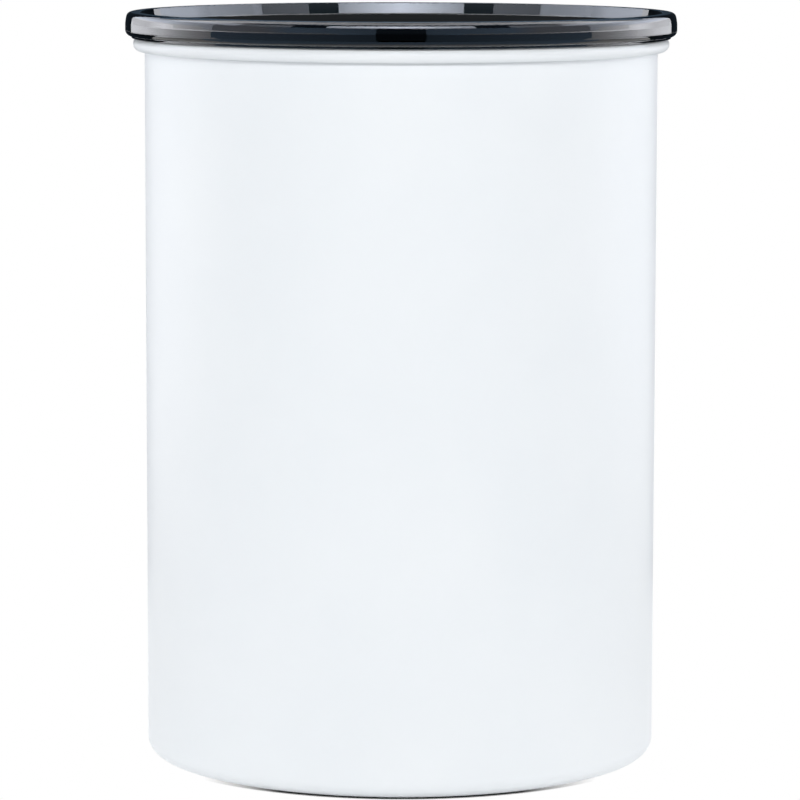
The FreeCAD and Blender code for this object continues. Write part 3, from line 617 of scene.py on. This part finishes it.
def seen_rays(tree):
    """One for rays from the eye, in reflections or through clear plastic, otherwise zero."""
    path = node_in(tree, "ShaderNodeLightPath")
    value = path.outputs["Is Camera Ray"]
    for name in ("Is Glossy Ray", "Is Transmission Ray"):
        value = maths(tree, "MAXIMUM", value, path.outputs[name])
    return value


def mixed(tree, value, first, second):
    """Two shaders mixed by a value."""
    made = node_in(tree, "ShaderNodeMixShader")
    tree.links.new(value, made.inputs["Fac"])
    tree.links.new(first, made.inputs[1])
    tree.links.new(second, made.inputs[2])
    return made.outputs["Shader"]


floor_material, tree, shader = new_material("floor_white")
shader.inputs["Base Color"].default_value = (0.92, 0.92, 0.92, 1)
shader.inputs["Roughness"].default_value = 0.9
shader.inputs["Specular IOR Level"].default_value = 0
shader.inputs["Emission Color"].default_value = (1, 1, 1, 1)
at = place(tree)
near = node_in(tree, "ShaderNodeVectorMath", operation="LENGTH")
tree.links.new(at, near.inputs[0])
parts = node_in(tree, "ShaderNodeSeparateXYZ")
tree.links.new(at, parts.inputs["Vector"])
aside = maths(tree, "ABSOLUTE", parts.outputs["X"])
fading = spread(tree, near.outputs["Value"], 1, 0, start=0.06, end=0.25)
beside = spread(tree, aside, 0.03, 0.2, start=0.02, end=0.06)
tree.links.new(maths(tree, "MULTIPLY", fading, beside), shader.inputs["Emission Strength"])
glow = node_in(tree, "ShaderNodeEmission", Color=(1, 1, 1, 1), Strength=1.0)
# Painted contact shadow: a near-black surface that the eye sees where ambient occlusion finds the can close
painted_shadow = node_in(tree, "ShaderNodeBsdfDiffuse", Color=(0.04, 0.04, 0.04, 1))
open_sky = node_in(tree, "ShaderNodeAmbientOcclusion", samples=12, Distance=0.0016)
uncovered = spread(tree, open_sky.outputs["AO"], 0, 1, start=0.25, end=0.6)
# The painted shadow is cleared towards the sides by the distance along x, standing in for light from the sides
painted_shadow_cleared_aside = spread(tree, aside, 0, 1, start=0.028, end=0.046)
lit = maths(tree, "MAXIMUM", uncovered, painted_shadow_cleared_aside)
white = mixed(tree, lit, painted_shadow.outputs["BSDF"], glow.outputs["Emission"])
surface = mixed(tree, seen_rays(tree), shader.outputs["BSDF"], white)
tree.links.new(surface, tree.nodes["Material Output"].inputs["Surface"])
dress(floor, floor_material)

# World: white to the eye and to reflections, softer as light
world = bpy.data.worlds.new("studio")
scene.world = world
world.use_nodes = True
tree = world.node_tree
background = tree.nodes["Background"]
background.inputs["Color"].default_value = (0.96, 0.98, 1, 1)
tree.links.new(spread(tree, seen_rays(tree), 0.56, 1, start=0, end=1), background.inputs["Strength"])

# Light cards that only reflections see, in metres and degrees, with 0 at the camera's side
LID_AT = Vector((0, 0, 0.175))
CARD_R = 1.4
CARD_STEP = 6
DIM = 0.9
LIT = 1
COOL = (0.66, 0.97, 1.36)
PALE = (0.95, 0.965, 1.02)
BLUISH = (0.9, 0.97, 1.12)


def glow_card(name, verts, faces, levels, bright):
    """A card that only reflections see. Each point has its own radiance, cool where it is dim."""
    card = new_object(name, verts, faces)
    card.data.attributes.new("level", "FLOAT", "POINT").data.foreach_set("value", levels)
    card.visible_camera = False
    card.visible_diffuse = False
    card.visible_transmission = False
    card.visible_shadow = False
    material, tree, shader = new_material(name)
    tree.nodes.remove(shader)
    glow = node_in(tree, "ShaderNodeEmission")
    level = node_in(tree, "ShaderNodeAttribute", attribute_name="level").outputs["Fac"]
    tree.links.new(level, glow.inputs["Strength"])
    tree.links.new(blend_colours(tree, level, COOL, bright, DIM, LIT), glow.inputs["Color"])
    tree.links.new(glow.outputs["Emission"], tree.nodes["Material Output"].inputs["Surface"])
    dress(card, material)


def ring_card(name, low, high, stops, bright=PALE):
    """A card on both sides of the can between two circles, each (radius, height).

    Stops are (azimuth, radiance) from front to back.
    """
    verts = []
    levels = []
    faces = []
    for (first, first_level), (last, last_level) in zip(stops, stops[1:]):
        if last == first:
            continue
        steps = math.ceil((last - first) / CARD_STEP)
        for side in (-1, 1):
            for step in range(steps + 1):
                share = step / steps
                turn = math.radians(first + (last - first) * share) * side
                for radius, height in (low, high):
                    verts.append((radius * math.sin(turn), -radius * math.cos(turn), height))
                    levels.append(first_level + (last_level - first_level) * share)
            base = len(verts) - 2 * (steps + 1)
            for step in range(steps):
                corner = base + 2 * step
                faces.append((corner, corner + 2, corner + 3, corner + 1))
    glow_card(name, verts, faces, levels, bright)


def band(name, low, high, stops, bright=PALE):
    """A ring card at an even distance from the lid, between two elevations."""
    circles = []
    for elevation in (low, high):
        tilt = math.radians(elevation)
        circles.append((CARD_R * math.cos(tilt), LID_AT.z + CARD_R * math.sin(tilt)))
    ring_card(name, *circles, stops, bright)


# Dark behind the camera and behind the can, dim fill beside the camera, bright panels at both sides, a strip above
DARK_BACK = [(150, 0.02), (172, 0.02), (180, 0.15)]
DARK_BACK_HIGH = [(150, 0.02), (180, 0.1)]
FILL_FRONT = [(0, 0.1), (10, 0.1), (10, 0.62), (83, 1.2), (83, 2.6)]
GAP = [(31, 0.12), (46, 0.15), (46, 2.0), (71, 1.6), (71, 4.3)]
band("low_band", -3.2, 1.5, [
    (0, 0.05), (10, 0.05), (10, 0.28), (83, 0.55), (83, 1.6), (114, 4.1), (128, 3.7), (150, 1.8), *DARK_BACK,
])
band("line_band", 1.5, 6.5, [
    (0, 0.05), (10, 0.05), (10, 0.6), (50, 1.5), (63, 2.3), (78, 4), (90, 6.3), (114, 6.8), (128, 3.4), (150, 1.5),
    *DARK_BACK,
])
band("middle_band", 6.5, 8.5, [*FILL_FRONT, (113, 5.8), (150, 2), *DARK_BACK])
band("upper_band", 8.5, 17, [*FILL_FRONT, (113, 5.4), (150, 2), *DARK_BACK], BLUISH)
band("strip_band", 17, 21.5, [(0, 8), (31, 4), *GAP, (105, 5), (150, 1.8), *DARK_BACK_HIGH], BLUISH)
band("high_band", 21.5, 28, [
    (0, 15), (31, 6.5), *GAP, (85, 7), (112, 7), (125, 2.5), (150, 1.8), *DARK_BACK_HIGH,
], BLUISH)
band("top_band", 28, 46, [(0, 0.2), (60, 0.3), (75, 1.5), (92, 7), (112, 7), (125, 2), (140, 0.5), (180, 0.8)])
band("roof_band", 46, 89, [(0, 4.3), (70, 4.3), (100, 5), (130, 4), (145, 1.6), (180, 1.6)])
CARD_Z = 0.0005
STANDING_R = 0.5
BACK_R = 0.25
DARK_RING_Z = 0.1717
ring_card("standing_band", (STANDING_R, CARD_Z), (STANDING_R, 0.151), [
    (0, 0), (9, 0), (9, 0.28), (78, 0.55), (78, 1.6), (113, 3.4), (143, 1.8),
])
ring_card("back_flag", (BACK_R, CARD_Z), (BACK_R, 0.16), [(139, 0.02), (180, 0.02)])
# A near-black ring just under the lid's rim that only reflections see: a painted dark reflection in the lid's lower
# rounding at the sides and back
ring_card("painted_dark_reflection_ring", (0.0642, DARK_RING_Z), (0.0705, DARK_RING_Z), [(64, 0.02), (180, 0.02)])
ring_card("floor_card", (0.13, CARD_Z), (STANDING_R, CARD_Z), [(0, 0.6), (90, 0.6)])


# Lamps, which reflections don't see

def softbox(name, centre, aim, width, height, radiance):
    """A rectangular area lamp of a given radiance, turned towards a point."""
    lamp = bpy.data.lights.new(name, "AREA")
    lamp.shape = "RECTANGLE"
    lamp.size = width
    lamp.size_y = height
    lamp.energy = radiance * math.pi * width * height
    holder = bpy.data.objects.new(name, lamp)
    holder.location = centre
    holder.rotation_euler = (Vector(aim) - Vector(centre)).to_track_quat("-Z", "Y").to_euler()
    holder.visible_camera = False
    holder.visible_glossy = False
    scene.collection.objects.link(holder)


LAMP_OFF = 1.37
LAMP_Z = 0.79
SIDE_OFF = 0.242
SIDE_Z = 0.08
softbox("front_lamp", (0, -LAMP_OFF, LAMP_Z), LID_AT, width=2.06, height=0.22, radiance=7.5)
softbox("back_lamp", (0, LAMP_OFF, LAMP_Z), LID_AT, width=1, height=0.3, radiance=5)
softbox("left_lamp", (-SIDE_OFF, 0, SIDE_Z), (0, 0, SIDE_Z), width=0.383, height=0.3, radiance=0.15)
softbox("right_lamp", (SIDE_OFF, 0, SIDE_Z), (0, 0, SIDE_Z), width=0.383, height=0.3, radiance=0.15)

# Camera at the photograph's place
TILT = 0.126
ROLL = -0.0017
camera = bpy.data.objects.new("camera", bpy.data.cameras.new("camera"))
camera.data.sensor_width = 36
camera.data.lens = 195.745
camera.data.clip_start = 0.05
camera.data.clip_end = 60
camera.location = (-0.00036, -1.038485, 0.216284)
camera.rotation_euler = (math.pi / 2 - TILT, ROLL, 0)
scene.collection.objects.link(camera)
scene.camera = camera
scene.view_settings.view_transform = "Standard"
